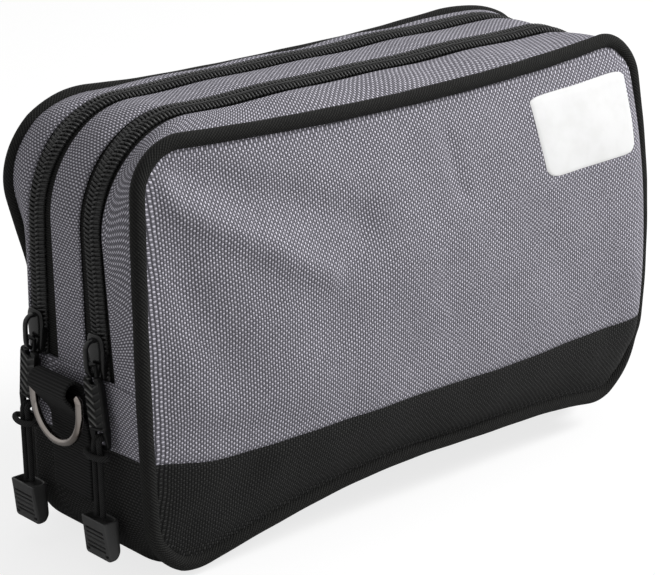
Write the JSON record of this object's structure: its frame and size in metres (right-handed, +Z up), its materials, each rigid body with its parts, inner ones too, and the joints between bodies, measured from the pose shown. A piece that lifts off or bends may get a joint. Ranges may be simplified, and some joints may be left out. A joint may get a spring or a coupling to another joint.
{
  "type": "zippered tool bag",
  "caption": "Box-shaped cloth tool bag with two zippered compartments, piped rims, a black base, corded zipper pulls and a clip ring on its left end.",
  "frame": {"origin": "on the floor under the middle of the bag", "axes": "+X to the right seen from the front, -Y the front, +Z up"},
  "size_m": [0.3565, 0.1441, 0.215],
  "materials": {
    "grey_cloth": "mauve-grey ballistic weave, lighter yarn crossings on a dark ground",
    "black_cloth": "black ballistic weave",
    "piping": "black woven cover over a round cord",
    "zipper_tape": "black knitted tape",
    "zipper_coil": "black nylon coil",
    "slider_enamel": "glossy black enamel",
    "moulded_plastic": "satin black moulded plastic",
    "cord": "black braided cord",
    "webbing": "black ribbed webbing",
    "nickel": "polished antique nickel, slightly warm",
    "label": "blank white label"
  },
  "bodies": {
    "bag": {"front_panel_lower": "grey_cloth", "front_base_band": "black_cloth", "front_piping_lower": "piping", "front_zip_inner_tape": "zipper_tape", "front_zip_inner_coil": "zipper_coil", "rear_panel_lower": "grey_cloth", "rear_base_band": "black_cloth", "rear_piping_lower": "piping", "rear_zip_inner_tape": "zipper_tape", "rear_zip_inner_coil": "zipper_coil", "middle_gusset": "grey_cloth", "left_end_panel": "grey_cloth", "right_end_panel": "grey_cloth", "base_gusset": "black_cloth", "divider": "black_cloth", "webbing_tab": "webbing"},
    "front_flap": {"front_panel": "grey_cloth", "front_piping_upper": "piping", "front_gusset": "grey_cloth", "front_zip_outer_tape": "zipper_tape", "front_zip_outer_coil": "zipper_coil", "label_patch": "label"},
    "rear_flap": {"rear_panel": "grey_cloth", "rear_piping_upper": "piping", "rear_gusset": "grey_cloth", "rear_zip_outer_tape": "zipper_tape", "rear_zip_outer_coil": "zipper_coil"},
    "front_slider": {"front_slider": "slider_enamel"},
    "front_pull_tab": {"front_pull_tab": "moulded_plastic"},
    "front_pull_cord": {"front_pull_cord": "cord", "front_cord_grip": "moulded_plastic"},
    "rear_slider": {"rear_slider": "slider_enamel"},
    "rear_pull_tab": {"rear_pull_tab": "moulded_plastic"},
    "rear_pull_cord": {"rear_pull_cord": "cord", "rear_cord_grip": "moulded_plastic"},
    "d_ring": {"d_ring": "nickel"}
  },
  "joints": [
    {"name": "front_flap_fold", "type": "hinge", "parent": "bag", "child": "front_flap", "pos_m": [0, -0.0778, 0.096], "axis": [1, 0, 0], "range_deg": [0, 35]},
    {"name": "rear_flap_fold", "type": "hinge", "parent": "bag", "child": "rear_flap", "pos_m": [0, 0.0662, 0.096], "axis": [-1, 0, 0], "range_deg": [0, 35]},
    {"name": "front_slider_run", "type": "slide", "parent": "bag", "child": "front_slider", "axis": [0, 0.0425, 0.9991], "range_m": [0, 0.03]},
    {"name": "front_tab_swing", "type": "hinge", "parent": "front_slider", "child": "front_pull_tab", "pos_m": [-0.1686, -0.02462, 0.105], "axis": [0, 0.9912, -0.1323], "range_deg": [0, 110]},
    {"name": "front_cord_swing", "type": "hinge", "parent": "front_pull_tab", "child": "front_pull_cord", "pos_m": [-0.1686, -0.02918, 0.07081], "axis": [0, 1, 0], "range_deg": [0, 45]},
    {"name": "rear_slider_run", "type": "slide", "parent": "bag", "child": "rear_slider", "axis": [0, -0.0425, 0.9991], "range_m": [0, 0.03]},
    {"name": "rear_tab_swing", "type": "hinge", "parent": "rear_slider", "child": "rear_pull_tab", "pos_m": [-0.1686, 0.02462, 0.105], "axis": [0, 0.9912, 0.1323], "range_deg": [0, 110]},
    {"name": "rear_cord_swing", "type": "hinge", "parent": "rear_pull_tab", "child": "rear_pull_cord", "pos_m": [-0.1686, 0.02918, 0.07081], "axis": [0, 1, 0], "range_deg": [0, 45]},
    {"name": "d_ring_swing", "type": "hinge", "parent": "bag", "child": "d_ring", "pos_m": [-0.1726, 0, 0.087], "axis": [0, 1, 0], "range_deg": [0, 120]}
  ]
}
